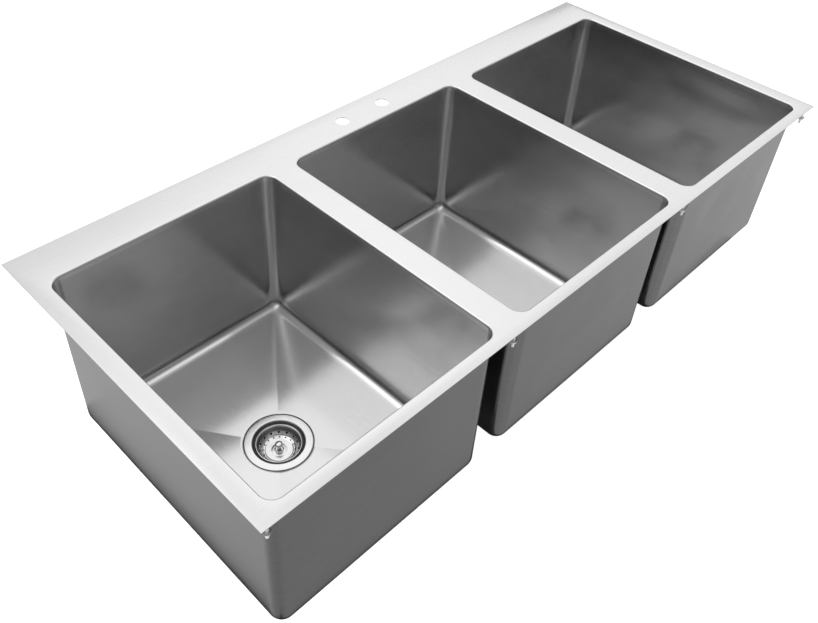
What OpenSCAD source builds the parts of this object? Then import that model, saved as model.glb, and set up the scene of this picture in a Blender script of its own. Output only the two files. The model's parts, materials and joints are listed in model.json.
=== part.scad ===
// Three compartment drop-in sink: one flat deck sheet, three deep coved bowls,
// a basket strainer drain in each bowl, and swing clips on studs under the rim.
// Millimetres. +X runs left to right, +Y from the front rim to the faucet ledge,
// +Z up. The origin is on the deck's top face, midway between the faucet holes.

/* [Deck] */
// Overall length of the deck, left to right
deck_l = 1384.3; // [1376:0.1:1420]
// Overall depth of the deck, front to back
deck_w = 609.6; // [604:0.1:640]
// Thickness of the stainless sheet
sheet_t = 1.5; // [1.2:0.1:1.6]
// Width of the rim in front of the bowls
front_rim = 22.5; // [21:0.5:26]
// Radius of the bend that turns the deck down into each bowl
bend_r = 3.5; // [3:0.5:4.5]
// Depth of the collar turned down around each opening
collar_h = 10; // [8:1:14]

/* [Bowls] */
// Inside width of each bowl, left to right
bowl_w = 406.4; // [396:0.1:407]
// Inside depth of each bowl, front to back
bowl_d = 508; // [500:0.1:510]
// Height from the deck's top face to the edge of the bowl floor
bowl_depth = 303; // [250:1:310]
// Clear width of deck between two bowls
bowl_gap = 52.4; // [50:0.1:54]
// Inside radius of the upright and floor corners
corner_r = 20; // [18:1:24]
// Fall of the creased floor from its edge to the drain centre
floor_fall = 11; // [10.5:0.1:12]
// Depth of the flat drain seat below the floor's edge
seat_drop = 9.5; // [9.2:0.1:10]

/* [Faucet holes] */
// Distance between the two faucet hole centres
faucet_cc = 101.6; // [101.6:0.1:203.2]
// Diameter of each faucet hole
faucet_dia = 25.4; // [22:0.1:32]

/* [Drain] */
// Diameter of the round drain opening in the bowl floor
drain_hole = 88.9; // [88.9:0.1:90]
// Outside diameter of the strainer flange
flange_dia = 114.3; // [112:0.1:116]
// Thickness of the strainer flange
flange_t = 1.3; // [1:0.1:1.4]
// Outside diameter of the threaded strainer cup
cup_dia = 85.7; // [85.4:0.1:86]
// Outside diameter of the threaded outlet
outlet_dia = 47.6; // [46:0.1:48]
// Inside diameter of the outlet
outlet_bore = 38.1; // [36:0.1:39]
// Number of large holes in the basket wall
wall_holes = 15; // [12:1:16]
// Number of small holes in the basket floor
floor_holes = 16; // [12:1:18]
// Diameter of the knob on the strainer post
knob_dia = 13.8; // [12:0.1:16]
// Diameter of the rubber stopper
stopper_dia = 54; // [50:1:56]

/* [Rim clamps] */
// Diameter of the weld studs under the rim
stud_dia = 4.8; // [4.6:0.1:5]
// Depth of the stud ends below the deck's top face
stud_end = 38; // [34:1:45]
// Depth of the top of each nut below the deck's top face
nut_top = 25; // [22:1:29]
// Thickness of the nuts
nut_h = 3.6; // [3:0.1:4.5]
// Distance from the deck's front or back edge to the studs
stud_in = 11.25; // [10.5:0.25:12]
// Reach of a swing clip from its stud
clip_reach = 22; // [18:1:22]
// Width of a swing clip
clip_w = 13; // [10:1:14]
// Thickness of a swing clip
clip_t = 2.2; // [1.5:0.1:3]

/* [Hidden] */
$fn = 64;

e = 0.01;
ledge = deck_w - front_rim - bowl_d;
y_back = ledge / 2;
y_front = y_back - deck_w;
bowl_cy = -ledge / 2 - bowl_d / 2;
pitch = bowl_w + bowl_gap;
bowl_cx = [-pitch, 0, pitch];
side_rim = (deck_l - 3 * bowl_w - 2 * bowl_gap) / 2;
stud_x = [-(deck_l - side_rim) / 2, -pitch / 2, pitch / 2, (deck_l - side_rim) / 2];
seat_z = -(bowl_depth + seat_drop);
flange_z = seat_z + flange_t;
// Drain levels, measured down from the top of the flange
cup_r = cup_dia / 2;
cup_in = cup_r - 1.66;
lip_r = 4.6;
under_sheet = -flange_t - sheet_t;
gasket_h = 3.2;
washer_h = 1;
nut_ring_top = under_sheet - gasket_h - washer_h;
outlet_r = outlet_dia / 2;
bore_r = outlet_bore / 2;
post_r = 2.95;

// ---- shared shapes ----

// Upright block with rounded corners, top at z = 0, going down h
module round_block(w, d, h, r) {
  translate([-w / 2 + r, -d / 2, -h]) cube([w - 2 * r, d, h]);
  translate([-w / 2, -d / 2 + r, -h]) cube([w, d - 2 * r, h]);
  for (sx = [-1, 1], sy = [-1, 1])
    translate([sx * (w / 2 - r), sy * (d / 2 - r), -h]) cylinder(r = r, h = h);
}

// Tub shape: round_block whose bottom edges are coved with the same radius
module tub(w, d, top, depth, r) {
  hh = depth - r;
  translate([-w / 2 + r, -d / 2 + r, -depth]) cube([w - 2 * r, d - 2 * r, depth - top]);
  translate([0, 0, -top]) round_block(w, d, hh - top, r);
  for (s = [-1, 1]) {
    translate([-w / 2 + r, s * (d / 2 - r), -hh]) rotate([0, 90, 0]) cylinder(r = r, h = w - 2 * r);
    translate([s * (w / 2 - r), -d / 2 + r, -hh]) rotate([-90, 0, 0]) cylinder(r = r, h = d - 2 * r);
  }
  for (sx = [-1, 1], sy = [-1, 1])
    translate([sx * (w / 2 - r), sy * (d / 2 - r), -hh]) sphere(r = r);
}

// Floor that falls along four creases to its centre: two wedges crossed
module creased_floor(w, d, z0, fall) {
  translate([0, 0, z0]) intersection() {
    translate([0, d / 2, 0]) rotate([90, 0, 0]) linear_extrude(d)
      polygon([[-w / 2, 0], [0, -fall], [w / 2, 0]]);
    translate([-w / 2, 0, 0]) rotate([90, 0, 90]) linear_extrude(w)
      polygon([[-d / 2, 0], [0, -fall], [d / 2, 0]]);
  }
}

// Section of the bend and collar, x outwards from the bowl wall's inner face
module collar_section() {
  translate([0, -collar_h]) square([sheet_t, collar_h - bend_r]);
  intersection() {
    translate([0, -bend_r]) square(bend_r);
    translate([bend_r, -bend_r]) difference() {
      circle(r = bend_r);
      circle(r = bend_r - sheet_t);
    }
  }
}

module collar(w, d, r) {
  for (a = [0, 180]) rotate([0, 0, a]) {
    translate([w / 2, d / 2 - r, 0]) rotate([90, 0, 0]) linear_extrude(d - 2 * r) collar_section();
    translate([-w / 2 + r, d / 2, 0]) rotate([90, 0, 90]) linear_extrude(w - 2 * r) collar_section();
  }
  for (q = [[1, 1, 0], [-1, 1, 90], [-1, -1, 180], [1, -1, 270]])
    translate([q[0] * (w / 2 - r), q[1] * (d / 2 - r), 0]) rotate([0, 0, q[2]])
      rotate_extrude(angle = 90) translate([r, 0]) collar_section();
}

// ---- sheet metal ----

module deck() color([0.88, 0.88, 0.88]) {
  difference() {
    translate([-deck_l / 2, y_front, -sheet_t]) cube([deck_l, deck_w, sheet_t]);
    for (cx = bowl_cx) translate([cx, bowl_cy, 1])
      round_block(bowl_w + 2 * bend_r, bowl_d + 2 * bend_r, sheet_t + 2, corner_r + bend_r);
    for (s = [-1, 1]) translate([s * faucet_cc / 2, 0, -sheet_t - 1])
      cylinder(d = faucet_dia, h = sheet_t + 2);
  }
  for (cx = bowl_cx) translate([cx, bowl_cy, 0]) collar(bowl_w, bowl_d, corner_r);
}

module bowl(cx) color([0.45, 0.45, 0.46]) translate([cx, bowl_cy, 0]) {
  fw = bowl_w - 2 * corner_r;
  fd = bowl_d - 2 * corner_r;
  seat_r = flange_dia / 2 + 1.6;
  difference() {
    union() {
      tub(bowl_w + 2 * sheet_t, bowl_d + 2 * sheet_t, collar_h, bowl_depth + sheet_t, corner_r + sheet_t);
      creased_floor(fw, fd, -bowl_depth - sheet_t + e, floor_fall);
      translate([0, 0, seat_z - sheet_t]) cylinder(r = seat_r + sheet_t, h = 12);
    }
    translate([0, 0, 0]) tub(bowl_w, bowl_d, 0, bowl_depth, corner_r);
    creased_floor(fw, fd, -bowl_depth + e, floor_fall);
    translate([0, 0, seat_z]) cylinder(r = seat_r, h = 30);
    translate([0, 0, seat_z - 20]) cylinder(d = drain_hole, h = 60);
  }
}

// ---- drain: every z below is down from the flange's top face ----

module at_drain(i) translate([bowl_cx[i], bowl_cy, flange_z]) children();

module drain_body(i) color([0.75, 0.75, 0.76]) at_drain(i) {
  lip_c = cup_in + lip_r;
  lip = [for (a = [90:15:180]) [lip_c + lip_r * cos(a), -lip_r + lip_r * sin(a)]];
  rotate_extrude($fn = 96) polygon(concat(
    [[flange_dia / 2, -flange_t], [flange_dia / 2, -0.4], [flange_dia / 2 - 0.6, 0]],
    lip,
    [[cup_in, -5], [cup_in - 3.2, -6.1], [cup_in - 3.2, -6.5], [cup_in, -9.5],
     [cup_in, -42], [bore_r, -49], [bore_r, -72], [outlet_r, -72], [outlet_r, -52.5],
     [cup_r, -45.5], [cup_r, -flange_t]]));
  // cross bars and centre guide in the outlet
  difference() {
    union() {
      translate([0, 0, -54.5]) cylinder(r = 6, h = 4.2);
      for (a = [0:120:240]) rotate([0, 0, a + 90])
        translate([5, -1.5, -54.5]) cube([bore_r - 4, 3, 4.2]);
    }
    translate([0, 0, -56]) cylinder(r = 3.5, h = 8);
  }
}

module flat_ring(r_in, r_out, top, h) translate([0, 0, top - h]) difference() {
  cylinder(r = r_out, h = h);
  translate([0, 0, -1]) cylinder(r = r_in, h = h + 2);
}

module drain_gasket(i) color([0.08, 0.08, 0.08]) at_drain(i)
  flat_ring(cup_r + 0.35, 56, under_sheet, gasket_h);

module friction_washer(i) color([0.62, 0.5, 0.34]) at_drain(i)
  flat_ring(cup_r + 0.35, 55, under_sheet - gasket_h, washer_h);

module locknut(i) color([0.6, 0.6, 0.62]) at_drain(i) {
  difference() {
    union() {
      translate([0, 0, nut_ring_top - 3]) cylinder(r = 54, h = 3);
      translate([0, 0, nut_ring_top - 14]) cylinder(r = 47.5, h = 12);
      for (a = [0:60:300]) rotate([0, 0, a])
        translate([46, -4.5, nut_ring_top - 14]) cube([7, 9, 12]);
    }
    translate([0, 0, nut_ring_top - 20]) cylinder(r = cup_r + 0.08, h = 24);
  }
}

// Basket: rolled rim, sloping wall and coved floor of one thin sheet
basket_in = [[37.2, -4.6], [32, -15], [31.1, -17.4], [29.6, -19.5], [27.5, -21], [25, -21.6], [5, -21.6]];
basket_out = [[5, -22.3], [25.1, -22.3], [27.8, -21.65], [30.1, -20.1], [31.75, -17.75], [32.7, -15.2], [37.95, -4.6]];

module basket(i) color([0.82, 0.82, 0.82]) at_drain(i) difference() {
  union() {
    rotate_extrude($fn = 96) polygon(concat(basket_in, basket_out));
    rotate_extrude($fn = 96) translate([38, -4.6]) circle(r = 1.2, $fn = 32);
    translate([0, 0, -22.3]) cylinder(r = 6.5, h = 2.9);
  }
  translate([0, 0, -30]) cylinder(r = post_r + 0.08, h = 20);
  for (k = [0:wall_holes - 1]) rotate([0, 0, (k + 0.15) * 360 / wall_holes])
    translate([31.9, 0, -16]) rotate([0, 117, 0]) translate([0, 0, -4]) cylinder(r = 2.1, h = 8, $fn = 24);
  for (k = [0:floor_holes - 1]) rotate([0, 0, (k + 0.2) * 360 / floor_holes])
    translate([26.3, 0, -30]) cylinder(r = 1.35, h = 14, $fn = 24);
}

// Strainer post: domed knob, neck, shoulder and plain shank in one turned piece
module post(i) color([0.85, 0.85, 0.86]) at_drain(i) {
  k = knob_dia / 2;
  rotate_extrude($fn = 48) polygon([
    [0, -3.9], [k * 0.35, -4.05], [k * 0.62, -4.5], [k * 0.84, -5.4], [k * 0.97, -6.8], [k, -8.2],
    [k * 0.95, -9.4], [k * 0.8, -10.4], [k * 0.6, -11.2], [3.4, -12.6], [post_r, -14.5],
    [post_r, -30.6], [5, -30.6], [5, -38.8], [11, -39.8], [11, -41], [post_r, -41],
    [post_r, -60], [2.2, -62], [0, -62]]);
}

module stopper(i) color([0.07, 0.07, 0.07]) at_drain(i) difference() {
  r = stopper_dia / 2;
  rotate_extrude($fn = 96) polygon([
    [0, -41.05], [r - 4, -41.05], [r - 1.5, -41.8], [r, -43.2], [r, -45.2], [r - 0.7, -46], [r - 2.5, -46.3], [0, -46.3]]);
  translate([0, 0, -60]) cylinder(r = post_r + 0.05, h = 30);
}

module stopper_nut(i) color([0.75, 0.7, 0.5]) at_drain(i) difference() {
  translate([0, 0, -49.5]) cylinder(r = 5, h = 3.15, $fn = 6);
  translate([0, 0, -60]) cylinder(r = post_r + 0.05, h = 30);
}

// ---- rim clamps ----

module at_studs() for (y = [y_front + stud_in, y_back - stud_in], x = stud_x)
  translate([x, y, 0]) children();

module rim_studs() color([0.8, 0.8, 0.8]) at_studs()
  translate([0, 0, -stud_end]) cylinder(d = stud_dia, h = stud_end - sheet_t);

module stud_nuts() color([0.85, 0.85, 0.85]) at_studs() translate([0, 0, -nut_top - nut_h]) difference() {
  cylinder(r = 5.5, h = nut_h, $fn = 6);
  translate([0, 0, -1]) cylinder(d = stud_dia + 0.1, h = nut_h + 2);
}

// Swing clip, stored pointing inwards under the deck; back = 1 faces the other way
module clip(i, back) color([0.78, 0.78, 0.78])
  translate([stud_x[i], back == 1 ? y_back - stud_in : y_front + stud_in, -nut_top + 0.1])
    rotate([0, 0, back == 1 ? -90 : 90]) difference() {
      union() {
        cylinder(d = clip_w, h = clip_t);
        translate([0, -clip_w / 2, 0]) cube([clip_reach, clip_w, clip_t]);
        translate([clip_reach - clip_t, -clip_w / 2, 0]) cube([clip_t, clip_w, clip_t + 3.5]);
      }
      translate([0, 0, -1]) cylinder(d = stud_dia + 0.16, h = clip_t + 2);
    }

module left_bowl() bowl(bowl_cx[0]);
module middle_bowl() bowl(bowl_cx[1]);
module right_bowl() bowl(bowl_cx[2]);

deck();
left_bowl();
middle_bowl();
right_bowl();
drain_body(0);  // left_drain_body
drain_body(1);  // middle_drain_body
drain_body(2);  // right_drain_body
drain_gasket(0);  // left_drain_gasket
drain_gasket(1);  // middle_drain_gasket
drain_gasket(2);  // right_drain_gasket
friction_washer(0);  // left_friction_washer
friction_washer(1);  // middle_friction_washer
friction_washer(2);  // right_friction_washer
locknut(0);  // left_locknut
locknut(1);  // middle_locknut
locknut(2);  // right_locknut
basket(0);  // left_basket
basket(1);  // middle_basket
basket(2);  // right_basket
post(0);  // left_post
post(1);  // middle_post
post(2);  // right_post
stopper(0);  // left_stopper
stopper(1);  // middle_stopper
stopper(2);  // right_stopper
stopper_nut(0);  // left_stopper_nut
stopper_nut(1);  // middle_stopper_nut
stopper_nut(2);  // right_stopper_nut
rim_studs();
stud_nuts();
clip(0, 0);  // front_clip_1
clip(1, 0);  // front_clip_2
clip(2, 0);  // front_clip_3
clip(3, 0);  // front_clip_4
clip(0, 1);  // back_clip_1
clip(1, 1);  // back_clip_2
clip(2, 1);  // back_clip_3
clip(3, 1);  // back_clip_4
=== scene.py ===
import json
import math

import bmesh
import bpy
from mathutils import Matrix, Vector, noise


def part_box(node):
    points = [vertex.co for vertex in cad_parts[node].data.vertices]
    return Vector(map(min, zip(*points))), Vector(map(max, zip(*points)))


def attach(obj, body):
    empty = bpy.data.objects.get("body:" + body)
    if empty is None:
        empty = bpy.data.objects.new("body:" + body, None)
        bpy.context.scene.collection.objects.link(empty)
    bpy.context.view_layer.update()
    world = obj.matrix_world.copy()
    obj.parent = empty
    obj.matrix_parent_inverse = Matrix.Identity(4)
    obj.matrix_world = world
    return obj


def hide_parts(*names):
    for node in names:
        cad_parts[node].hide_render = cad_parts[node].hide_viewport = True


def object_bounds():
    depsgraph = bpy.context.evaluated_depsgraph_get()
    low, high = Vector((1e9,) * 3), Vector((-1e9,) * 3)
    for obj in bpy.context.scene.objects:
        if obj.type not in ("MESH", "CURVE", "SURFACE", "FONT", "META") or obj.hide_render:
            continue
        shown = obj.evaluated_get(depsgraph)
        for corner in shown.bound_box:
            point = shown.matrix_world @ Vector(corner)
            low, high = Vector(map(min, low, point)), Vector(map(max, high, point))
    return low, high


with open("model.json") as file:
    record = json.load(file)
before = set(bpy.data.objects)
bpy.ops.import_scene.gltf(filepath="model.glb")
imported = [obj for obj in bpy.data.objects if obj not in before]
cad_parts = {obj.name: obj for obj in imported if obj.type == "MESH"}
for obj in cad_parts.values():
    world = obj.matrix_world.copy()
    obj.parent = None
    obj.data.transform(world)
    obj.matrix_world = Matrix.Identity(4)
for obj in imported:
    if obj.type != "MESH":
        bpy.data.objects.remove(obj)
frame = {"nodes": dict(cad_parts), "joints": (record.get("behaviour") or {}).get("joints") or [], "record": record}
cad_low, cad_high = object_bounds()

REC = frame["record"]
MM = 0.001
scene = bpy.context.scene
SIDES = ("left", "middle", "right")

# ---------------------------------------------------------------- dimensions
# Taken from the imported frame, so that every piece goes where the CAD says.
deck_lo, deck_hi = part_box("deck")
T = 0.0015                       # sheet thickness
BEND = 0.0035                    # radius of the deck's bend into a bowl
COLLAR = -deck_lo.z              # depth of the collars
CORNER = 0.020                   # inside corner radius of the bowls
SEAT_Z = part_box("left_drain_body")[1].z - 0.0013
FLANGE_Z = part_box("left_drain_body")[1].z
SEAT_R = 0.05875
HOLE_R = 0.04445
FALL = 0.011
BOWLS = {}
for side in SIDES:
    lo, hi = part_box(side + "_bowl")
    BOWLS[side] = dict(cx=(lo.x + hi.x) / 2, cy=(lo.y + hi.y) / 2,
                       w=hi.x - lo.x - 2 * T, d=hi.y - lo.y - 2 * T)
FLOOR_EDGE = SEAT_Z + 0.0095     # floor level at the foot of the walls


# ---------------------------------------------------------------- node helpers
class Nodes:
    """Short calls for building a shader tree."""

    def __init__(self, name):
        self.mat = bpy.data.materials.new(name)
        self.mat.use_nodes = True
        self.t = self.mat.node_tree
        self.t.nodes.clear()
        self.out = self.add("ShaderNodeOutputMaterial")
        self.bsdf = self.add("ShaderNodeBsdfPrincipled")
        self.link(self.bsdf.outputs[0], self.out.inputs["Surface"])

    def add(self, kind, **props):
        n = self.t.nodes.new(kind)
        for k, v in props.items():
            setattr(n, k, v)
        return n

    def link(self, a, b):
        self.t.links.new(a, b)

    def coords(self, scale, rotation=(0, 0, 0), offset=(0, 0, 0)):
        tc = self.add("ShaderNodeTexCoord")
        mp = self.add("ShaderNodeMapping")
        mp.inputs["Scale"].default_value = scale
        mp.inputs["Rotation"].default_value = rotation
        mp.inputs["Location"].default_value = offset
        self.link(tc.outputs["Object"], mp.inputs["Vector"])
        return mp.outputs["Vector"]

    def noise(self, scale, detail=3, rough=0.5, coords=(1, 1, 1), distortion=0.0, offset=(0, 0, 0)):
        n = self.add("ShaderNodeTexNoise")
        n.inputs["Scale"].default_value = scale
        n.inputs["Detail"].default_value = detail
        n.inputs["Roughness"].default_value = rough
        n.inputs["Distortion"].default_value = distortion
        self.link(self.coords(coords, offset=offset), n.inputs["Vector"])
        return n.outputs["Fac"]

    def ramp(self, fac, a, b, lo=0.0, hi=1.0):
        r = self.add("ShaderNodeMapRange")
        r.inputs["From Min"].default_value = lo
        r.inputs["From Max"].default_value = hi
        r.inputs["To Min"].default_value = a
        r.inputs["To Max"].default_value = b
        r.clamp = True
        self.link(fac, r.inputs["Value"])
        return r.outputs["Result"]

    def math(self, op, a, b=None):
        m = self.add("ShaderNodeMath", operation=op)
        for i, v in enumerate((a, b)):
            if v is None:
                continue
            if isinstance(v, (int, float)):
                m.inputs[i].default_value = v
            else:
                self.link(v, m.inputs[i])
        return m.outputs[0]

    def mix(self, fac, a, b):
        m = self.add("ShaderNodeMix", data_type="FLOAT")
        for i, v in ((0, fac), (2, a), (3, b)):
            if isinstance(v, (int, float)):
                m.inputs[i].default_value = v
            else:
                self.link(v, m.inputs[i])
        return m.outputs[0]

    def grey(self, fac, dark, light):
        r = self.add("ShaderNodeValToRGB")
        r.color_ramp.elements[0].color = (*dark, 1)
        r.color_ramp.elements[1].color = (*light, 1)
        self.link(fac, r.inputs["Fac"])
        return r.outputs["Color"]

    def upward(self):
        """0 on walls, 1 on level faces, from the surface's own normal."""
        g = self.add("ShaderNodeNewGeometry")
        s = self.add("ShaderNodeSeparateXYZ")
        self.link(g.outputs["Normal"], s.inputs[0])
        return self.ramp(self.math("ABSOLUTE", s.outputs["Z"]), 0, 1, 0.55, 0.8)

    def bump(self, height, strength, distance, normal=None):
        b = self.add("ShaderNodeBump")
        b.inputs["Strength"].default_value = strength
        b.inputs["Distance"].default_value = distance
        self.link(height, b.inputs["Height"])
        if normal is not None:
            self.link(normal, b.inputs["Normal"])
        return b.outputs["Normal"]


def brushed(name, wall, level, rough_wall, rough_level, spread, grain_wall, grain_level,
            metal_level=1.0, bump_mm=0.004, smear=0.025, tone_span=0.03, painted_joint_shadow=None):
    """Satin stainless: fine parallel grain in bump and roughness, soft cloudy smears, and a
    very slight change of tone. grain_* are coordinate scales: large across the grain. Level
    faces, which wear most, are a little duller than upright ones; they are also lighter in colour,
    and that lighter colour is painted light, as on faces that look up to the light."""
    n = Nodes(name)
    up = n.upward()
    fine = n.mix(up, n.noise(1, 2, 0.6, grain_wall), n.noise(1, 2, 0.6, grain_level))
    wide = n.mix(up,
                 n.noise(1, 2, 0.5, tuple(v * 0.22 for v in grain_wall), offset=(3, 1, 7)),
                 n.noise(1, 2, 0.5, tuple(v * 0.22 for v in grain_level), offset=(3, 1, 7)))
    cloud = n.noise(7, 4, 0.55, offset=(1.3, 4.1, 0.4))
    grain = n.math("ADD", n.math("MULTIPLY", fine, 0.6), n.math("MULTIPLY", wide, 0.4))
    r = n.math("ADD", n.mix(up, rough_wall, rough_level),
               n.math("ADD", n.ramp(grain, -spread, spread, 0.3, 0.7), n.ramp(cloud, -smear, smear, 0.3, 0.7)))
    n.link(r, n.bsdf.inputs["Roughness"])
    tone = n.math("ADD", n.math("MULTIPLY", grain, 0.6), n.math("MULTIPLY", cloud, 0.4))
    # painted light: level faces take the lighter level colour, upright faces the darker wall colour
    value = n.math("ADD", n.mix(up, wall, level), n.ramp(tone, -tone_span, tone_span, 0.3, 0.7))
    if painted_joint_shadow is not None:
        # painted shade: a dull, dark shadow line painted in the gap where the strainer's flange is bedded on its seat
        tc = n.add("ShaderNodeTexCoord")
        sp = n.add("ShaderNodeSeparateXYZ")
        n.link(tc.outputs["Object"], sp.inputs[0])
        inside = n.math("MULTIPLY", n.math("GREATER_THAN", sp.outputs["Z"], painted_joint_shadow[0]),
                        n.math("LESS_THAN", sp.outputs["Z"], painted_joint_shadow[1]))
        # only on the upper side of the sheet
        gm = n.add("ShaderNodeNewGeometry")
        gs = n.add("ShaderNodeSeparateXYZ")
        n.link(gm.outputs["Normal"], gs.inputs[0])
        inside = n.math("MULTIPLY", inside, n.math("GREATER_THAN", gs.outputs["Z"], -0.3))
        value = n.mix(inside, value, 0.09)
    n.link(n.grey(value, (0, 0, 0), (1, 1, 1)), n.bsdf.inputs["Base Color"])
    n.link(n.bump(grain, 0.35, bump_mm * MM), n.bsdf.inputs["Normal"])
    if metal_level < 1:
        n.link(n.mix(up, 1.0, metal_level), n.bsdf.inputs["Metallic"])
    else:
        n.bsdf.inputs["Metallic"].default_value = 1
    return n.mat


def polished(name, base, rough, smear=0.04, turned=0.0, painted_recess_shade=None, painted_recess_shade_rough=0.34):
    """Polished or turned metal: faint smears, tiny pits, optional turning lines. The recess argument
    is a painted shade colour, laid with a rougher, unpolished finish where the mesh's own recess value is 1."""
    n = Nodes(name)
    cloud = n.noise(60, 4, 0.6)
    r = n.ramp(cloud, max(0.02, rough - smear), rough + smear, 0.3, 0.7)
    lo = tuple(max(0, c - 0.04) for c in base)
    c = n.grey(n.ramp(cloud, 0, 1, 0.3, 0.7), lo, base)
    if painted_recess_shade is not None:
        painted_shade_mask = n.add("ShaderNodeAttribute", attribute_type="GEOMETRY", attribute_name="painted_recess_shade").outputs["Fac"]
        r = n.mix(painted_shade_mask, r, painted_recess_shade_rough)
        m = n.add("ShaderNodeMix", data_type="RGBA")
        n.link(painted_shade_mask, m.inputs[0])
        n.link(c, m.inputs[6])
        m.inputs[7].default_value = (*painted_recess_shade, 1)
        c = m.outputs[2]
    n.link(r, n.bsdf.inputs["Roughness"])
    n.link(c, n.bsdf.inputs["Base Color"])
    fine = n.noise(900, 2, 0.5)
    nrm = n.bump(fine, 0.12, 0.002 * MM)
    if turned:
        lines = n.noise(1, 1, 0.5, (30, 30, 4000))
        nrm = n.bump(lines, turned, 0.004 * MM, nrm)
    n.link(nrm, n.bsdf.inputs["Normal"])
    n.bsdf.inputs["Metallic"].default_value = 1
    return n.mat


def plated(name):
    """Bright zinc plate: pale, very slightly cloudy metal."""
    n = Nodes(name)
    cloud = n.noise(350, 4, 0.6)
    n.link(n.grey(n.ramp(cloud, 0, 1, 0.3, 0.7), (0.78, 0.79, 0.81), (0.86, 0.87, 0.88)), n.bsdf.inputs["Base Color"])
    n.link(n.ramp(cloud, 0.20, 0.28, 0.3, 0.7), n.bsdf.inputs["Roughness"])
    n.link(n.bump(n.noise(1800, 3, 0.6), 0.1, 0.01 * MM), n.bsdf.inputs["Normal"])
    n.bsdf.inputs["Metallic"].default_value = 0.45
    return n.mat


def rubber(name, base=0.018):
    n = Nodes(name)
    mottle = n.noise(220, 5, 0.6)
    n.link(n.grey(n.ramp(mottle, 0, 1, 0.3, 0.7), (base * 0.7,) * 3, (base * 1.7,) * 3), n.bsdf.inputs["Base Color"])
    n.link(n.ramp(mottle, 0.5, 0.68, 0.3, 0.7), n.bsdf.inputs["Roughness"])
    n.link(n.bump(n.noise(2600, 3, 0.6), 0.25, 0.03 * MM), n.bsdf.inputs["Normal"])
    return n.mat


def fibre(name):
    n = Nodes(name)
    f = n.noise(1, 4, 0.7, (500, 900, 300))
    n.link(n.grey(n.ramp(f, 0, 1, 0.3, 0.7), (0.20, 0.12, 0.055), (0.42, 0.30, 0.17)), n.bsdf.inputs["Base Color"])
    n.link(n.ramp(f, 0.7, 0.9, 0.3, 0.7), n.bsdf.inputs["Roughness"])
    n.link(n.bump(f, 0.5, 0.08 * MM), n.bsdf.inputs["Normal"])
    return n.mat


def cast(name, base):
    """Die-cast zinc: dull, grainy, darker in the mottles."""
    n = Nodes(name)
    m = n.noise(160, 5, 0.65)
    n.link(n.grey(n.ramp(m, 0, 1, 0.3, 0.7), tuple(c * 0.7 for c in base), base), n.bsdf.inputs["Base Color"])
    n.link(n.ramp(m, 0.34, 0.52, 0.3, 0.7), n.bsdf.inputs["Roughness"])
    n.link(n.bump(n.noise(1500, 4, 0.6), 0.35, 0.03 * MM), n.bsdf.inputs["Normal"])
    n.bsdf.inputs["Metallic"].default_value = 1
    return n.mat


# the level colours, lighter than the wall colours, are painted light on faces that look up
DECK_MAT = brushed("deck_satin", 0.62, 0.80, 0.24, 0.27, 0.015, (30, 30, 900), (30, 900, 30), 1.0, 0.002, 0.02, 0.025)
# the z range given to the bowls is painted as a dark shadow line round each strainer's flange
BOWL_MAT = brushed("bowl_satin", 0.50, 0.77, 0.23, 0.165, 0.02, (45, 45, 1100), (1100, 45, 45), 0.75, 0.003, 0.02, 0.04,
                   painted_joint_shadow=(SEAT_Z - 0.0004, SEAT_Z + 0.00033))
# the recess colours are painted shade, darker than the polished metal: inside the strainer cup, on the basket's upper
# wall and on the post below its knob
DRAIN_MAT = polished("drain_polished", (0.86, 0.86, 0.86), 0.20, painted_recess_shade=(0.16, 0.16, 0.165))
BASKET_MAT = polished("basket_polished", (0.88, 0.88, 0.88), 0.22, painted_recess_shade=(0.20, 0.20, 0.20))
POST_MAT = polished("post_turned", (0.85, 0.85, 0.85), 0.16, 0.03, 0.2, painted_recess_shade=(0.35, 0.35, 0.35))
BOLT_MAT = plated("bolt_plated")
# its level colour, a little lighter than its wall colour, is painted light as on the deck and bowls
CLIP_MAT = brushed("clip_strip", 0.58, 0.60, 0.28, 0.30, 0.04, (300, 20, 20), (900, 30, 30), 1.0, 0.008)
CAST_MAT = cast("zinc_cast", (0.50, 0.50, 0.52))
BRASS_MAT = polished("brass_machined", (0.62, 0.47, 0.22), 0.25)
GASKET_MAT = rubber("gasket_rubber", 0.02)
STOPPER_MAT = rubber("stopper_rubber", 0.016)
FIBRE_MAT = fibre("pressed_fibre")


# ---------------------------------------------------------------- mesh helpers
def to_object(name, bm, mat, body, replaces=(), angle=32):
    bmesh.ops.remove_doubles(bm, verts=bm.verts, dist=2e-6)
    loose = [v for v in bm.verts if not v.link_faces]
    bmesh.ops.delete(bm, geom=loose, context="VERTS")
    bmesh.ops.recalc_face_normals(bm, faces=bm.faces)
    me = bpy.data.meshes.new(name)
    bm.to_mesh(me)
    bm.free()
    me.materials.append(mat)
    me.shade_smooth()
    me.set_sharp_from_angle(angle=math.radians(angle))
    ob = bpy.data.objects.new(name, me)
    scene.collection.objects.link(ob)
    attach(ob, body)
    if replaces:
        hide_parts(*replaces)
    return ob


def painted_recess_shade(ob, side, fn):
    """Stores fn(radius, height) in mm, measured from the drain's axis and flange, on each vertex: the strength of the
    painted shade in the drain's hollows.
    """
    a = ob.data.attributes.new("painted_recess_shade", "FLOAT", "POINT")
    cx, cy = BOWLS[side]["cx"], BOWLS[side]["cy"]
    for i, v in enumerate(ob.data.vertices):
        a.data[i].value = fn(math.hypot(v.co.x - cx, v.co.y - cy) / MM, (v.co.z - FLANGE_Z) / MM)
    return ob


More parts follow.
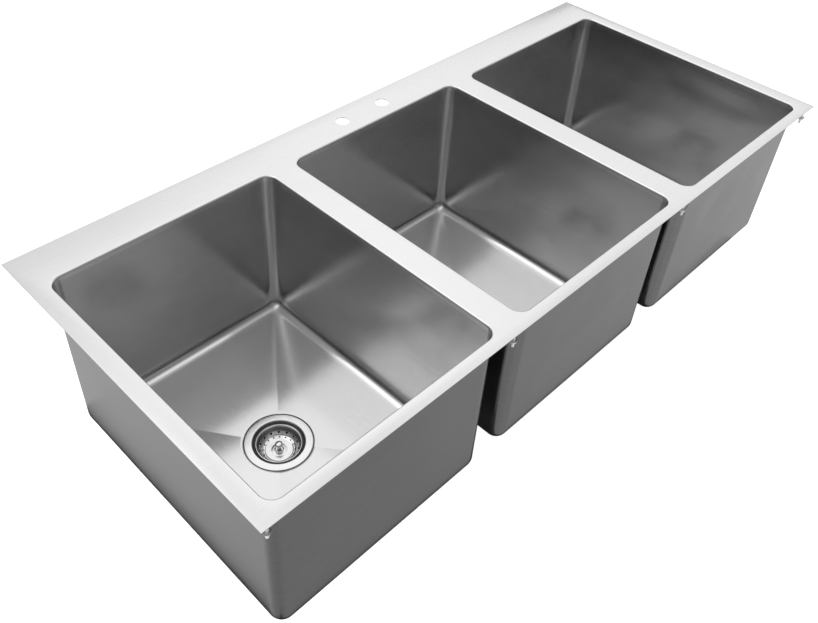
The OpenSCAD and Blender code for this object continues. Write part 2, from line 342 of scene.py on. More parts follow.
def skin(bm, loops, closed=True, ring=False):
    """Joins loops of equal length with quads. ring joins the last loop to the first."""
    vs = [[bm.verts.new(p) for p in loop] for loop in loops]
    n = len(loops[0])
    pairs = list(zip(vs, vs[1:])) + ([(vs[-1], vs[0])] if ring else [])
    for a, b in pairs:
        for i in range(n if closed else n - 1):
            j = (i + 1) % n
            q = [a[i], a[j], b[j], b[i]]
            if len({tuple(round(c, 7) for c in v.co) for v in q}) > 2:
                bm.faces.new(q)
    return vs


def lathe(bm, profile, cx, cy, z0, steps=96, ring=True):
    """Turns a closed (r, z) outline, in mm, about a vertical axis."""
    loops = []
    for r, z in profile:
        loops.append([(cx + r * MM * math.cos(2 * math.pi * i / steps),
                       cy + r * MM * math.sin(2 * math.pi * i / steps), z0 + z * MM) for i in range(steps)])
    skin(bm, loops, True, ring)


def arc(cx, cz, r, a0, a1, n):
    return [(cx + r * math.cos(math.radians(a0 + (a1 - a0) * i / n)),
             cz + r * math.sin(math.radians(a0 + (a1 - a0) * i / n))) for i in range(n + 1)]


def rounded(outline, r, n=3):
    """A closed (r, z) outline with each corner rounded by up to r."""
    out = []
    m = len(outline)
    for i in range(m):
        p, q, s = Vector(outline[i - 1]), Vector(outline[i]), Vector(outline[(i + 1) % m])
        a, b = (p - q), (s - q)
        la, lb = a.length, b.length
        if la < 1e-6 or lb < 1e-6:
            continue
        a.normalize(); b.normalize()
        k = min(r, la * 0.45, lb * 0.45)
        if a.dot(b) < -0.985:
            out.append(tuple(q))
            continue
        for t in range(n + 1):
            u = t / n
            p0, p2 = q + a * k, q + b * k
            out.append(tuple(p0 * (1 - u) ** 2 + q * 2 * u * (1 - u) + p2 * u ** 2))
    return out


# ---------------------------------------------------------------- bowls and deck
NC = 10


def stations(length, near=0.006, step=0.016):
    """Distances along a straight side: close together at its ends."""
    inner = length - 2 * near
    k = max(2, round(inner / step))
    return [near + inner * i / k for i in range(k + 1)]


def side_points(w, d, r, w0, d0, r0):
    """One loop round a rounded rectangle. w0, d0, r0 set the spacing, so loops match up."""
    out = []
    hx, hy = w / 2 - r, d / 2 - r
    hx0, hy0 = w0 / 2 - r0, d0 / 2 - r0
    corners = ((1, 1, 0), (-1, 1, 90), (-1, -1, 180), (1, -1, 270))
    for k, (sx, sy, a0) in enumerate(corners):
        cx, cy = sx * hx, sy * hy
        for i in range(NC + 1):
            a = math.radians(a0 + 90 * i / NC)
            out.append((cx + r * math.cos(a), cy + r * math.sin(a)))
        nx, ny, _ = corners[(k + 1) % 4]
        ax, ay = cx + r * math.cos(math.radians(a0 + 90)), cy + r * math.sin(math.radians(a0 + 90))
        bx, by = nx * hx + r * math.cos(math.radians(a0 + 90)), ny * hy + r * math.sin(math.radians(a0 + 90))
        length = (2 * hx0) if k % 2 == 0 else (2 * hy0)
        for s in stations(length):
            u = s / length
            out.append((ax + (bx - ax) * u, ay + (by - ay) * u))
    return out


def smooth01(x):
    x = min(1, max(0, x))
    return x * x * (3 - 2 * x)


def sheet_wave(x, y, z, w, d, seed, amp):
    """Slight unevenness of a pressed wall, zero at its edges. Returns an outward shift."""
    hx, hy = w / 2, d / 2
    top, foot = -COLLAR, FLOOR_EDGE + CORNER
    v = smooth01((top - z) / 0.06) * smooth01((z - foot) / 0.05)
    on_x = abs(abs(x) - hx) < 0.004 and abs(y) < hy - CORNER + 1e-4
    on_y = abs(abs(y) - hy) < 0.004 and abs(x) < hx - CORNER + 1e-4
    if not (on_x or on_y) or v <= 0:
        return 0.0
    s, half = (y, hy - CORNER) if on_x else (x, hx - CORNER)
    u = smooth01((half - abs(s)) / 0.07)
    side = (1 if x > 0 else 2) if on_x else (3 if y > 0 else 4)
    p = Vector((s * 5.2 + seed * 7.3 + side * 3.1, z * 7.5 + seed * 2.7, side * 1.7))
    h = noise.noise(p) + 0.35 * noise.noise(p * 2.3)
    return amp * u * v * h


def bowl(side, seed, amp):
    b = BOWLS[side]
    cx, cy, w, d = b["cx"], b["cy"], b["w"], b["d"]
    fw, fd = w / 2 - CORNER, d / 2 - CORNER      # half sizes of the creased floor
    loops = []

    def add(ww, dd, r, z, wave=False, offset=0.0):
        pts = side_points(ww, dd, r, w, d, CORNER)
        loop = []
        for x, y in pts:
            if wave:
                s = sheet_wave(x * w / ww, y * d / dd, z, w, d, seed, amp)
                if s:
                    if abs(abs(x) - ww / 2) < abs(abs(y) - dd / 2):
                        x += math.copysign(s, x)
                    else:
                        y += math.copysign(s, y)
            loop.append((cx + x, cy + y, z))
        loops.append(loop)

    def wall(off, zs):
        for z in zs:
            add(w + 2 * off, d + 2 * off, CORNER + off, z, True, off)

    foot = FLOOR_EDGE + CORNER
    rim = -COLLAR
    k = 20
    heights = [rim + (foot - rim) * i / k for i in range(k + 1)]
    wall(0, heights)
    for i in range(1, 10):                       # cove
        a = math.radians(90 * i / 9)
        inset = CORNER * (1 - math.cos(a))
        add(w - 2 * inset, d - 2 * inset, CORNER * math.cos(a), foot - CORNER * math.sin(a))

    base = side_points(2 * fw, 2 * fd, 0, w, d, CORNER)

    def floor_z(x, y, drop=0.0):
        s = max(abs(x) / fw, abs(y) / fd)
        return FLOOR_EDGE - FALL * (1 - s) - drop

    def radial(u, r, drop=0.0, level=None):
        """u runs from the floor's edge to the circle of radius r."""
        loop = []
        for x, y in base:
            length = math.hypot(x, y)
            px = x + (x / length * r - x) * u
            py = y + (y / length * r - y) * u
            loop.append((cx + px, cy + py, floor_z(px, py, drop) if level is None else level))
        return loop

    for u in (0.03, 0.08, 0.16, 0.26, 0.38, 0.5, 0.62, 0.74, 0.85, 0.93, 0.98, 1.0):
        loops.append(radial(u, SEAT_R + 0.0009))
    loops.append(radial(1, SEAT_R + 0.0003, 0.0002))
    loops.append([(x, y, min(z, max(SEAT_Z + 0.0003, z - 0.0006))) for x, y, z in radial(1, SEAT_R)])
    loops.append(radial(1, SEAT_R - 0.0003, level=SEAT_Z))
    loops.append(radial(1, (SEAT_R + HOLE_R) / 2, level=SEAT_Z))
    loops.append(radial(1, HOLE_R + 0.0002, level=SEAT_Z))
    loops.append(radial(1, HOLE_R, level=SEAT_Z - 0.0002))
    loops.append(radial(1, HOLE_R, level=SEAT_Z - T + 0.0002))
    loops.append(radial(1, HOLE_R + 0.0002, level=SEAT_Z - T))
    loops.append(radial(1, SEAT_R + T - 0.001, level=SEAT_Z - T))
    loops.append(radial(1, SEAT_R + T, level=SEAT_Z - T + 0.0006))
    for u in (1.0, 0.97, 0.9, 0.78, 0.62, 0.45, 0.3, 0.17, 0.08, 0.03, 0.0):
        loops.append(radial(u, SEAT_R + T + 0.0004, T))
    ro = CORNER + T
    for i in range(8, 0, -1):
        a = math.radians(90 * i / 9)
        inset = ro * (1 - math.cos(a))
        add(w + 2 * T - 2 * inset, d + 2 * T - 2 * inset, ro * math.cos(a), foot - ro * math.sin(a))
    wall(T, list(reversed(heights)))
    bm = bmesh.new()
    skin(bm, loops, True, True)
    return to_object(side + "_bowl_shell", bm, BOWL_MAT, "sink", (side + "_bowl",), 40)


def deck():
    bm = bmesh.new()
    lo, hi = deck_lo, deck_hi
    eb = 0.0003

    def rect(inset, z):
        return [(x, y, z) for x, y in ((lo.x + inset, lo.y + inset), (hi.x - inset, lo.y + inset),
                                       (hi.x - inset, hi.y - inset), (lo.x + inset, hi.y - inset))]

    rings = {"top": [], "low": []}
    # outer edge, slightly broken
    edge = skin(bm, [rect(eb, 0), rect(0.0001, -0.0001), rect(0, -eb), rect(0, -T + eb), rect(0.0001, -T + 0.0001), rect(eb, -T)])
    rings["top"].append(edge[0]); rings["low"].append(edge[-1])
    # openings: plate, bend and collar, inside face and underside face
    for b in BOWLS.values():
        def ring(off, z):
            return [(b["cx"] + x, b["cy"] + y, z) for x, y in
                    side_points(b["w"] + 2 * off, b["d"] + 2 * off, CORNER + off, b["w"], b["d"], CORNER)]
        loops = [ring(BEND + 0.0015, 0)]
        for i in range(9):
            a = math.radians(90 * i / 8)
            loops.append(ring(BEND - BEND * math.sin(a), -BEND + BEND * math.cos(a)))
        loops += [ring(0, -0.0065), ring(0, -COLLAR), ring(T, -COLLAR), ring(T, -0.0065)]
        ri = BEND - T
        for i in range(6, -1, -1):
            a = math.radians(90 * i / 6)
            loops.append(ring(BEND - ri * math.sin(a), -BEND + ri * math.cos(a)))
        loops.append(ring(BEND + 0.0015, -T))
        vs = skin(bm, loops)
        rings["top"].append(vs[0]); rings["low"].append(vs[-1])
    # faucet holes, slightly broken edges
    for m in REC["mounts"]:
        if m["name"] != "faucet_holes":
            continue
        r = m["dims"]["hole_r_mm"] * MM
        for s in (-1, 1):
            x0 = m["pos_m"][0] + s * m["dims"]["spacing_x_mm"] * MM / 2
            y0 = m["pos_m"][1]

            def circle(rr, z):
                return [(x0 + rr * math.cos(2 * math.pi * i / 72), y0 + rr * math.sin(2 * math.pi * i / 72), z) for i in range(72)]
            vs = skin(bm, [circle(r + 0.0015, 0), circle(r + 0.0003, 0), circle(r + 0.00009, -0.00009), circle(r, -0.0003),
                           circle(r, -T + 0.0003), circle(r + 0.0003, -T), circle(r + 0.0015, -T)])
            rings["top"].append(vs[0]); rings["low"].append(vs[-1])
    for key in ("top", "low"):
        edges = []
        for loop in rings[key]:
            for i in range(len(loop)):
                e = bm.edges.get((loop[i], loop[(i + 1) % len(loop)]))
                if e is None and (loop[i].co - loop[(i + 1) % len(loop)].co).length > 1e-7:
                    e = bm.edges.new((loop[i], loop[(i + 1) % len(loop)]))
                if e is not None:
                    edges.append(e)
        bmesh.ops.triangle_fill(bm, use_beauty=True, use_dissolve=False, edges=edges)
    return to_object("deck_sheet", bm, DECK_MAT, "sink", ("deck",), 40)


bowl("left", 1, 0.0006)
bowl("middle", 2, 0.0016)
bowl("right", 5, 0.0030)
deck()


# ---------------------------------------------------------------- drains
def thread_skin(bm, cx, cy, z0, r_out, r_in, top, low, pitch, steps=96, per=6):
    """A screwed surface between two levels (mm), as one helical height field."""
    rows = int(round((top - low) / pitch * per))
    loops = []
    for k in range(rows + 1):
        z = top + (low - top) * k / rows
        fade = min(1, k / per, (rows - k) / per)
        loop = []
        for i in range(steps):
            a = 2 * math.pi * i / steps
            ph = ((top - z) / pitch + i / steps) % 1
            tri = 1 - abs(2 * ph - 1)
            r = r_out - (r_out - r_in) * fade * (1 - min(1, tri * 1.35))
            loop.append((cx + r * MM * math.cos(a), cy + r * MM * math.sin(a), z0 + z * MM))
        loops.append(loop)
    return loops


def drain_body(side):
    b = BOWLS[side]
    cx, cy = b["cx"], b["cy"]
    bm = bmesh.new()
    steps = 96

    def circles(profile):
        return [[(cx + r * MM * math.cos(2 * math.pi * i / steps), cy + r * MM * math.sin(2 * math.pi * i / steps),
                  FLANGE_Z + z * MM) for i in range(steps)] for r, z in profile]

    cup_in, lip = 41.19, 4.6
    upper = [(42.85, -1.3), (56.9, -1.3), (57.15, -1.05), (57.15, -0.5), (57.0, -0.2), (56.6, -0.03), (56.0, 0.0), (52, 0.0), (48, 0.0)]
    upper += arc(cup_in + lip, -lip, lip, 90, 180, 10)
    upper += rounded([(cup_in, -4.7), (cup_in, -5.0), (cup_in - 3.2, -6.1), (cup_in - 3.2, -6.5), (cup_in, -9.5), (cup_in, -12)], 0.5)[4:-4]
    upper += [(cup_in, -12), (cup_in, -40)] + [(cup_in - 0.5, -41.6), (cup_in - 1.6, -42.5)]
    upper += [(30, -45.53), (19.9, -48.7), (19.2, -49.2), (19.05, -49.9), (19.05, -60), (19.05, -71.5), (19.35, -71.95), (19.8, -72),
              (22.6, -72), (23.1, -71.8), (23.3, -71.4)]
    loops = circles(upper)
    out_thread = thread_skin(bm, cx, cy, FLANGE_Z, 23.8, 22.7, -53.0, -71.2, 2.2, steps)
    loops += list(reversed(out_thread))
    loops += circles([(24.2, -52.4), (26, -51.8), (40, -47.0), (41.8, -46.2), (42.3, -45.6)])
    cup_thread = thread_skin(bm, cx, cy, FLANGE_Z, 42.85, 41.95, -3.2, -45.2, 2.1, steps)
    loops += list(reversed(cup_thread))
    skin(bm, loops, True, True)
    # centre guide and three cross bars
    lathe(bm, rounded([(3.5, -50.3), (6, -50.3), (6, -54.5), (3.5, -54.5)], 0.5), cx, cy, FLANGE_Z, 48)
    for k in range(3):
        a = math.radians(90 + 120 * k)
        m = Matrix.Translation((cx, cy, FLANGE_Z)) @ Matrix.Rotation(a, 4, "Z")
        sec = rounded([(-1.5, -50.3), (1.5, -50.3), (1.5, -54.5), (-1.5, -54.5)], 0.7, 4)
        loops = [[m @ Vector((r * MM, y * MM, z * MM)) for y, z in sec] for r in (5.2, 10, 15, 19.5)]
        skin(bm, loops)
    ob = to_object(side + "_strainer_body", bm, DRAIN_MAT, "sink", (side + "_drain_body",), 35)
    # painted shade: the strainer's cup is coloured dark from the curve of its lip down to its outlet
    return painted_recess_shade(ob, side, lambda r, z: smooth01((45.7 - r) / 1.6) if (r < 41.8 and z > -50) or z > -3.1 else 0.0)


def basket(side):
    """Thin pressed cup with a rolled rim, and real holes through its wall and floor."""
    b = BOWLS[side]
    cx, cy = b["cx"], b["cy"]
    th = 0.7
    n_all = 240
    # centre line of the upper face, from the rolled rim to the hub
    path = [(37.3, -4.9), (36.2, -7.6), (34.7, -11.6)]
    wall_a, wall_b = (33.9, -13.5), (30.0, -18.2)
    floor_a, floor_b = (28.35, -20.45), (24.2, -21.55)

    def curve_wall(u):
        # gently curving between the wall's two ends
        x = wall_a[0] + (wall_b[0] - wall_a[0]) * u
        z = wall_a[1] + (wall_b[1] - wall_a[1]) * u
        s = 4 * u * (1 - u)
        return (x + 0.10 * s, z - 0.02 * s)

    def curve_floor(u):
        x = floor_a[0] + (floor_b[0] - floor_a[0]) * u
        z = floor_a[1] + (floor_b[1] - floor_a[1]) * u
        s = 4 * u * (1 - u)
        return (x, z - 0.32 * s)

    def nrm(f, u):
        a, c = f(max(0, u - 0.01)), f(min(1, u + 0.01))
        t = Vector((c[0] - a[0], c[1] - a[1])).normalized()
        return Vector((-t.y, t.x))           # towards the inside of the cup

    sections = []     # every upper-face point with its inward normal
    bm = bmesh.new()

    def place(r, z, a):
        return (cx + r * MM * math.cos(a), cy + r * MM * math.sin(a), FLANGE_Z + z * MM)

    def plain(points, normals):
        for side_sign in (0, 1):
            loops = []
            for (r, z), nn in zip(points, normals):
                rr, zz = r - nn.x * th * side_sign, z - nn.y * th * side_sign
                loops.append([place(rr, zz, 2 * math.pi * i / n_all) for i in range(n_all)])
            skin(bm, loops)

    def norms(points):
        out = []
        for i in range(len(points)):
            a, c = points[max(0, i - 1)], points[min(len(points) - 1, i + 1)]
            t = Vector((c[0] - a[0], c[1] - a[1])).normalized()
            out.append(Vector((-t.y, t.x)) if True else None)
        return out

    def inward(vs):
        return [v if v.x < 0 or (abs(v.x) < 1e-3 and v.y > 0) or v.y > 0.2 else -v for v in vs]

    def holes(f, count, radius, phase):
        """A band of cells, each with one round hole, between u = 0 and u = 1 of curve f."""
        per = n_all // count
        length = math.dist(f(0), f(1))
        rows = 4
        for k in range(count):
            a0 = 2 * math.pi * k / count + phase
            da = 2 * math.pi / count
            rmid = f(0.5)[0]
            cell = []
            for i in range(per):
                cell.append((i / per, 0.0))
            for i in range(rows):
                cell.append((1.0, i / rows))
            for i in range(per):
                cell.append((1 - i / per, 1.0))
            for i in range(rows):
                cell.append((0.0, 1 - i / rows))
            wide = da * rmid

            def circle(q, scale):
                dx, dy = (q[0] - 0.5) * wide, (q[1] - 0.5) * length
                l = math.hypot(dx, dy)
                return (0.5 + dx / l * radius * scale / wide, 0.5 + dy / l * radius * scale / length)

            def point(q, depth):
                u = q[1]
                nn = nrm(f, u)
                if nn.x > 0 and nn.y < 0.2:
                    nn = -nn
                r, z = f(u)
                return place(r - nn.x * th * depth, z - nn.y * th * depth, a0 + q[0] * da)

            rim_in = [circle(q, 1.0) for q in cell]
            rim_mid = [circle(q, 1.07) for q in cell]

            def between(t):
                return [(p[0] + (q[0] - p[0]) * t, p[1] + (q[1] - p[1]) * t) for p, q in zip(cell, rim_mid)]
            face = [cell, between(0.25), between(0.5), between(0.75), rim_mid]
            loops = [[point(q, 0) for q in row] for row in face]
            loops += [[point(q, 0.12) for q in rim_in], [point(q, 0.88) for q in rim_in]]
            loops += [[point(q, 1) for q in row] for row in reversed(face)]
            skin(bm, loops)

    # each level is built from the same end points, so the bands join up
    ph_wall, ph_floor = 2 * math.pi * 0.15 / 15 - math.pi / 15, 2 * math.pi * 0.2 / 16 - math.pi / 16
    nw0, nw1 = nrm(curve_wall, 0), nrm(curve_wall, 1)
    nf0, nf1 = nrm(curve_floor, 0), nrm(curve_floor, 1)

    def band(points, n_first, n_last):
        ns = inward(norms(points))
        if n_first is not None:
            ns[0] = inward([n_first])[0]
        if n_last is not None:
            ns[-1] = inward([n_last])[0]
        plain(points, ns)

    band(path + [curve_wall(0)], None, nw0)
    holes(curve_wall, 15, 2.05, ph_wall)
    bend_pts = [curve_wall(1), (29.6, -18.95), (29.05, -19.7), curve_floor(0)]
    band(bend_pts, nw1, nf0)
    holes(curve_floor, 16, 1.35, ph_floor)
    band([curve_floor(1), (21, -21.6), (16, -21.6), (11, -21.6), (8.2, -21.58)], nf1, None)
    # hub pressed up round the post
    lathe(bm, rounded([(8.4, -22.3), (3.05, -22.3), (3.05, -19.5), (5.9, -19.5), (6.7, -20.6), (7.6, -21.5), (8.4, -21.59)], 0.5), cx, cy, FLANGE_Z, n_all)
    # rolled rim
    lathe(bm, arc(38.0, -4.6, 1.2, 0, 345, 23), cx, cy, FLANGE_Z, n_all)
    ob = to_object(side + "_basket_cup", bm, BASKET_MAT, side + "_basket", (side + "_basket",), 38)
    # painted shade: the basket's wall is coloured dark from just below its rolled rim down to its ring of wall holes
    return painted_recess_shade(ob, side, lambda r, z: smooth01((r - 33.0) / 1.0) * smooth01((-4.9 - z) / 1.2))


def post(side):
    b = BOWLS[side]
    k = 6.9
    bm = bmesh.new()
    prof = [(0.0, -3.9), (1.2, -3.92), (2.4, -4.02), (3.6, -4.24), (4.7, -4.65), (5.6, -5.3), (6.3, -6.2), (6.75, -7.2), (k, -8.2),
            (6.78, -9.0), (6.4, -9.8), (5.7, -10.4), (4.8, -10.9), (4.1, -11.5), (3.55, -12.5), (3.2, -13.6), (2.95, -14.8),
            (2.95, -22), (2.95, -30.3), (3.3, -30.6), (4.6, -30.6), (5.0, -31.0), (5.0, -38.2), (5.3, -38.8), (10.4, -39.7),
            (10.9, -39.95), (11, -40.3), (11, -40.8), (10.8, -41), (2.95, -41)]
    loops = []
    for r, z in prof:
        loops.append([(b["cx"] + max(r, 0.0001) * MM * math.cos(2 * math.pi * i / 64),
                       b["cy"] + max(r, 0.0001) * MM * math.sin(2 * math.pi * i / 64), FLANGE_Z + z * MM) for i in range(64)])
    loops += thread_skin(bm, b["cx"], b["cy"], FLANGE_Z, 2.95, 2.45, -46.4, -56, 0.9, 64)
    for r, z in ((2.9, -56.3), (2.9, -60), (2.6, -60.9), (2.2, -61.7), (1.6, -62), (0.0001, -62)):
        loops.append([(b["cx"] + r * MM * math.cos(2 * math.pi * i / 64),
                       b["cy"] + r * MM * math.sin(2 * math.pi * i / 64), FLANGE_Z + z * MM) for i in range(64)])
    skin(bm, loops)
    ob = to_object(side + "_strainer_post", bm, POST_MAT, side + "_stopper_post", (side + "_post",), 35)
    # painted shade: the post is coloured dark below its knob
    return painted_recess_shade(ob, side, lambda r, z: smooth01((-9.0 - z) / 1.5))


def stopper(side):
    b = BOWLS[side]
    bm = bmesh.new()
    lathe(bm, rounded([(3.0, -41.05), (10.5, -41.05), (11.4, -41.05), (23, -41.05), (25.5, -41.8), (27, -43.2), (27, -45.2), (26.3, -46),
                       (24.5, -46.3), (23.4, -45.7), (15, -45.7), (14, -46.3), (3.0, -46.3)], 0.6),
          b["cx"], b["cy"], FLANGE_Z, 96)
    return to_object(side + "_stopper_disc", bm, STOPPER_MAT, side + "_stopper_post", (side + "_stopper",), 35)


for side in SIDES:
    drain_body(side)
    basket(side)
    post(side)
    stopper(side)


# ---------------------------------------------------------------- rim clamps
stud_lo, stud_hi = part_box("rim_studs")
stud_x, stud_y = [], []
for j in frame["joints"]:
    if j["name"].endswith("_swing"):
        stud_x.append(j["pos_m"][0]); stud_y.append(j["pos_m"][1])
STUDS = list(zip(stud_x, stud_y))


def studs():
    bm = bmesh.new()
    for x, y in STUDS:
        z_end = stud_lo.z / MM
        loops = []

        def c(r, z):
            return [(x + r * MM * math.cos(2 * math.pi * i / 32), y + r * MM * math.sin(2 * math.pi * i / 32), z * MM) for i in range(32)]
        # small weld fillet against the deck, plain neck, thread, chamfered end
        loops += [c(0.02, -1.5), c(3.6, -1.5), c(3.3, -1.75), c(2.8, -2.1), c(2.45, -2.8), c(2.4, -4.0)]
        loops += thread_skin(bm, x, y, 0, 2.4, 1.98, -4.4, z_end + 0.7, 0.8, 32, 6)
        loops += [c(1.9, z_end + 0.25), c(1.5, z_end + 0.02), c(0.02, z_end)]
        skin(bm, loops)
    return to_object("threaded_studs", bm, BOLT_MAT, "sink", ("rim_studs",), 40)


def hex_nut(bm, x, y, top, h, r, bore, turn=0.0):
    """Hexagon nut with both faces chamfered by a cone, as one swept surface."""
    steps = 72
    af = r * math.cos(math.pi / 6)

    def hexr(a):
        m = (a + math.pi / 6) % (math.pi / 3) - math.pi / 6
        return af / math.cos(m)

    rows = []
    cone = 0.55
    for t in (0.0, 0.12, 0.25, 0.4, 0.5, 0.6, 0.75, 0.88, 1.0):
        z = top - h * t
        edge = min(t, 1 - t) * h
        loop = []
        for i in range(steps):
            a = 2 * math.pi * i / steps
            rr = min(hexr(a), af * 0.985 + edge / math.tan(math.radians(30)))
            loop.append((x + rr * MM * math.cos(a + turn), y + rr * MM * math.sin(a + turn), z * MM))
        rows.append(loop)

    def c(rr, z):
        return [(x + rr * MM * math.cos(2 * math.pi * i / steps + turn), y + rr * MM * math.sin(2 * math.pi * i / steps + turn), z * MM) for i in range(steps)]
    loops = [c(bore, top - 0.4), c(bore + 0.45, top)] + rows + [c(bore + 0.45, top - h), c(bore, top - h + 0.4)]
    skin(bm, loops, True, True)


def nuts():
    lo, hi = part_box("stud_nuts")
    bm = bmesh.new()
    for x, y in STUDS:
        hex_nut(bm, x, y, hi.z / MM, (hi.z - lo.z) / MM, 5.5, 2.45)
    return to_object("hex_nuts", bm, BOLT_MAT, "sink", ("stud_nuts",), 25)


def clip(name):
    """Pressed strip: round at the stud, turned-up toothed end, edges slightly rolled over."""
    lo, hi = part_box(name)
    j = next(k for k in frame["joints"] if k["child"] == name)
    x0, y0 = j["pos_m"][0], j["pos_m"][1]
    back = name.startswith("back")
    reach = (hi.y - y0) if not back else (y0 - lo.y)
    w = (hi.x - lo.x)
    t = 0.0022
    bm = bmesh.new()
    hw = w / 2
    nseg = 16
    outline = []
    for i in range(nseg + 1):
        a = math.radians(90 + 180 * i / nseg)
        outline.append((hw * math.cos(a), hw * math.sin(a)))
    outline += [(0.006, -hw), (reach - t, -hw), (reach - t, hw), (0.006, hw)]
    hole = [(0.00248 * math.cos(2 * math.pi * i / 32), 0.00248 * math.sin(2 * math.pi * i / 32)) for i in range(32)]
    m = Matrix.Translation((x0, y0, lo.z)) @ Matrix.Rotation(math.radians(-90 if back else 90), 4, "Z")
    e = 0.00035

    def offset(pts, k, closed_hole=False):
        cxm = sum(p[0] for p in pts) / len(pts)
        out = []
        n = len(pts)
        for i in range(n):
            p, q, s = Vector(pts[i - 1]), Vector(pts[i]), Vector(pts[(i + 1) % n])
            d1, d2 = (q - p).normalized(), (s - q).normalized()
            n1, n2 = Vector((d1.y, -d1.x)), Vector((d2.y, -d2.x))
            nn = (n1 + n2)
            nn = nn.normalized() if nn.length > 1e-9 else n1
            out.append(tuple(q - nn * k / max(0.4, nn.dot(n1))))
        return out

    def loop3(pts, z):
        return [m @ Vector((p[0], p[1], z)) for p in pts]

    outer = [loop3(offset(outline, e), 0), loop3(offset(outline, e * 0.3), e * 0.3), loop3(outline, e),
             loop3(outline, t - e), loop3(offset(outline, e * 0.3), t - e * 0.3), loop3(offset(outline, e), t)]
    vo = skin(bm, outer)
    hs = [[(p[0] * s, p[1] * s) for p in hole] for s in (1.12, 1.0, 1.0, 1.12)]
    vh = skin(bm, [loop3(hs[0], 0), loop3(hs[1], e), loop3(hs[2], t - e), loop3(hs[3], t)])
    for a, b2 in ((vo[0], vh[0]), (vo[-1], vh[-1])):
        edges = []
        for lp in (a, b2):
            for i in range(len(lp)):
                ed = bm.edges.get((lp[i], lp[(i + 1) % len(lp)]))
                if ed is not None:
                    edges.append(ed)
        bmesh.ops.triangle_fill(bm, use_beauty=True, use_dissolve=False, edges=edges)
    # turned-up end with three teeth along its top, rounded outer bend
    top = hi.z - lo.z
    prof = [(reach - t, 0), (reach - 0.0010, 0), (reach - 0.0003, 0.0003), (reach, 0.0010), (reach, top - 0.0003),
            (reach - 0.0003, top), (reach - t + 0.0003, top), (reach - t, top - 0.0003), (reach - t, t)]
    cuts = 24
    loops = []
    for i in range(cuts + 1):
        y = -hw + w * i / cuts
        inset = 0.0003 if i in (0, cuts) else 0
        tooth = 0.0012 * abs(((i / cuts * 4) % 1) * 2 - 1)
        loop = []
        for px, pz in prof:
            z = pz - (tooth if pz > t * 1.4 else 0)
            loop.append(m @ Vector((px, y, z)))
        loops.append(loop)
    vs = skin(bm, loops)
    bm.faces.new(vs[0]); bm.faces.new(list(reversed(vs[-1])))
    return to_object(name + "_strip", bm, CLIP_MAT, name, (name,), 30)


studs()
nuts()
for n in frame["nodes"]:
    if "clip" in n:
        clip(n)

# CAD nodes whose shape is right take their material
for n, ob in frame["nodes"].items():
    mat = None
    if n.endswith("_drain_gasket"):
        mat = GASKET_MAT
    elif n.endswith("_friction_washer"):
        mat = FIBRE_MAT
    elif n.endswith("_locknut"):
        mat = CAST_MAT
    elif n.endswith("_stopper_nut"):
        mat = BRASS_MAT
    if mat is not None:
        if not ob.data.materials:
            ob.data.materials.append(mat)
        for s in ob.material_slots:
            s.material = mat

# ---------------------------------------------------------------- camera
cam_data = bpy.data.cameras.new("camera")
cam = bpy.data.objects.new("camera", cam_data)
scene.collection.objects.link(cam)
right = Vector((0.708029, -0.704808, 0.044059))
up = Vector((0.445436, 0.494143, 0.746598))
back = Vector((-0.54798, -0.508987, 0.663814))
cam.matrix_world = Matrix(((right.x, up.x, back.x, -0.98876), (right.y, up.y, back.y, -1.02422),
                           (right.z, up.z, back.z, 0.874244), (0, 0, 0, 1)))
cam_data.sensor_width = 36
cam_data.lens = 38.486
cam_data.shift_x = 0.017615
cam_data.shift_y = -0.053381
cam_data.clip_start = 0.01
cam_data.clip_end = 50
scene.camera = cam

# ---------------------------------------------------------------- floor and light
floor_z = cad_low[2] - 0.0005
bm = bmesh.new()
bmesh.ops.create_grid(bm, x_segments=8, y_segments=8, size=14)
me = bpy.data.meshes.new("studio_floor")
bm.to_mesh(me); bm.free()
floor = bpy.data.objects.new("studio_floor", me)
floor.location = (0, 0, floor_z)
scene.collection.objects.link(floor)
fm = Nodes("studio_floor")
fm.link(fm.grey(fm.noise(3, 3), (0.86, 0.86, 0.86), (0.88, 0.88, 0.88)), fm.bsdf.inputs["Base Color"])
fm.bsdf.inputs["Roughness"].default_value = 0.8
fm.bsdf.inputs["Specular IOR Level"].default_value = 0.1
fm.bsdf.inputs["Emission Color"].default_value = (1, 1, 1, 1)
fm.bsdf.inputs["Emission Strength"].default_value = 0.55
me.materials.append(fm.mat)
floor.visible_glossy = False


def area(name, loc, aim, size_x, size_y, value):
    """A soft panel that lights the floor only softly; value is the brightness of its face."""
    d = bpy.data.lights.new(name, "AREA")
    d.shape = "RECTANGLE"
    d.size, d.size_y = size_x, size_y
    d.energy = value * math.pi * size_x * size_y
    ob = bpy.data.objects.new(name, d)
    scene.collection.objects.link(ob)
    ob.location = loc
    ob.rotation_euler = (Vector(aim) - Vector(loc)).to_track_quat("-Z", "Y").to_euler()
    ob.visible_glossy = False
    ob.visible_camera = False
    return ob


# Painted shade: a dark sheet beneath the sink, seen only in reflections, stands in for the shade there and keeps the
# gaps between bowls dark.
bm = bmesh.new()
for px, py in ((-0.70, -0.58), (0.70, -0.58), (0.70, 0.05), (-0.70, 0.05)):
    bm.verts.new((px, py, cad_low[2] - 0.0003))
bm.faces.new(bm.verts)
me = bpy.data.meshes.new("studio_shade_sheet")
bm.to_mesh(me); bm.free()
shade_sheet = bpy.data.objects.new("studio_shade_sheet", me)
scene.collection.objects.link(shade_sheet)
um = Nodes("studio_shade_sheet")
um.bsdf.inputs["Base Color"].default_value = (0.02, 0.02, 0.02, 1)
um.bsdf.inputs["Roughness"].default_value = 0.8
me.materials.append(um.mat)
shade_sheet.visible_camera = False
shade_sheet.visible_diffuse = False
shade_sheet.visible_shadow = False

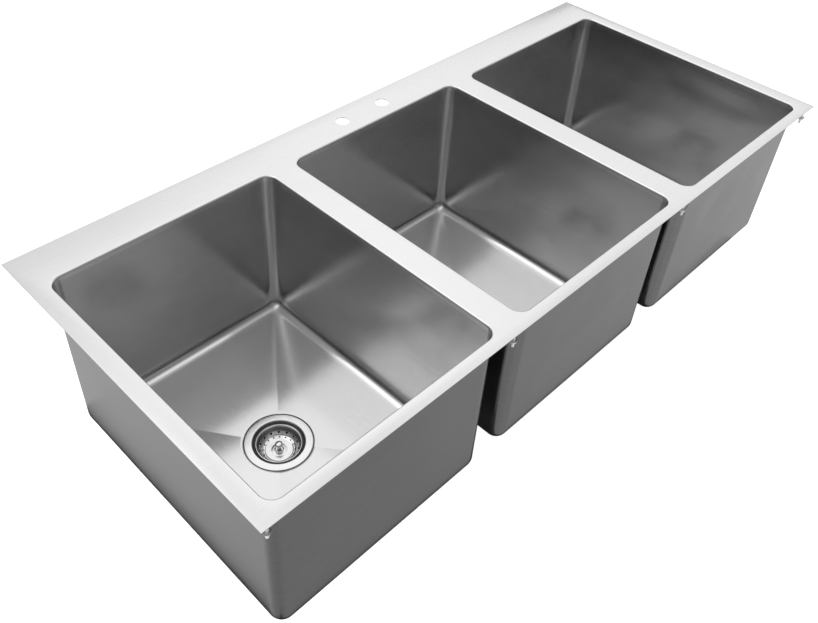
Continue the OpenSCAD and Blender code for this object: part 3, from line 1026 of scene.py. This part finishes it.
# Soft studio surroundings: bright panels above, behind and to the right, dim elsewhere.
# Rows are heights in degrees, columns are compass directions every 45 degrees from -180.
HEIGHTS = [-90, -40, -8, 12, 30, 48, 68, 90]
BELOW, ABOVE = 0.20, 0.80
GLOW = [[0.28, 0.24, 0.29, 0.27, 0.46, 0.50, 0.62, 0.52],
        [0.55, 0.50, 0.50, 0.55, 0.80, 0.75, 0.60, 0.50],
        [0.85, 0.80, 0.80, 0.80, 0.85, 1.02, 0.80, 0.78],
        [0.60, 0.22, 0.26, 0.26, 1.06, 1.02, 0.84, 0.34],
        [1.28, 0.38, 0.12, 0.10, 0.76, 1.28, 0.94, 1.85],
        [1.08, 0.85, 0.40, 1.10, 1.06, 0.92, 1.10, 1.80]]
world = bpy.data.worlds.new("studio")
scene.world = world
world.use_nodes = True
wt = world.node_tree
wt.nodes.clear()


def wnode(kind, **props):
    n = wt.nodes.new(kind)
    for k, v in props.items():
        setattr(n, k, v)
    return n


def wmath(op, a, b=None):
    n = wnode("ShaderNodeMath", operation=op)
    for i, v in enumerate((a, b)):
        if isinstance(v, (int, float)):
            n.inputs[i].default_value = v
        elif v is not None:
            wt.links.new(v, n.inputs[i])
    return n.outputs[0]


def flat_colour(v):
    n = wnode("ShaderNodeRGB")
    n.outputs[0].default_value = (v, v, v, 1)
    return n.outputs[0]


tc = wnode("ShaderNodeTexCoord")
sp = wnode("ShaderNodeSeparateXYZ")
wt.links.new(tc.outputs["Generated"], sp.inputs[0])
compass = wmath("ADD", wmath("DIVIDE", wmath("ARCTAN2", sp.outputs["Y"], sp.outputs["X"]), 2 * math.pi), 0.5)
height = wmath("MULTIPLY", wmath("ARCSINE", sp.outputs["Z"]), 180 / math.pi)
glow = flat_colour(BELOW)
for j, e in enumerate(HEIGHTS[1:]):
    if j < len(GLOW):
        r = wnode("ShaderNodeValToRGB")
        wt.links.new(compass, r.inputs["Fac"])
        while len(r.color_ramp.elements) < 9:
            r.color_ramp.elements.new(0.5)
        for k in range(9):
            r.color_ramp.elements[k].position = k / 8
        for k in range(9):
            v = GLOW[j][k % 8]
            r.color_ramp.elements[k].color = (v, v, v, 1)
        row = r.outputs["Color"]
    else:
        row = flat_colour(ABOVE)
    mr = wnode("ShaderNodeMapRange")
    mr.inputs["From Min"].default_value = HEIGHTS[j]
    mr.inputs["From Max"].default_value = e
    wt.links.new(height, mr.inputs["Value"])
    mx = wnode("ShaderNodeMix", data_type="RGBA")
    wt.links.new(mr.outputs["Result"], mx.inputs[0])
    wt.links.new(glow, mx.inputs[6])
    wt.links.new(row, mx.inputs[7])
    glow = mx.outputs[2]
lp = wnode("ShaderNodeLightPath")
seen = wnode("ShaderNodeMix", data_type="RGBA")
wt.links.new(lp.outputs["Is Camera Ray"], seen.inputs[0])
wt.links.new(glow, seen.inputs[6])
wt.links.new(flat_colour(1.0), seen.inputs[7])
bg = wnode("ShaderNodeBackground")
wt.links.new(seen.outputs[2], bg.inputs["Color"])
wo = wnode("ShaderNodeOutputWorld")
wt.links.new(bg.outputs[0], wo.inputs[0])

wash = area("floor_wash", (-1.0, -2.5, 3.6), (0, -0.5, floor_z), 4.0, 4.0, 1.8)
wash.data.use_shadow = False

scene.view_settings.view_transform = "Standard"
scene.view_settings.look = "None"
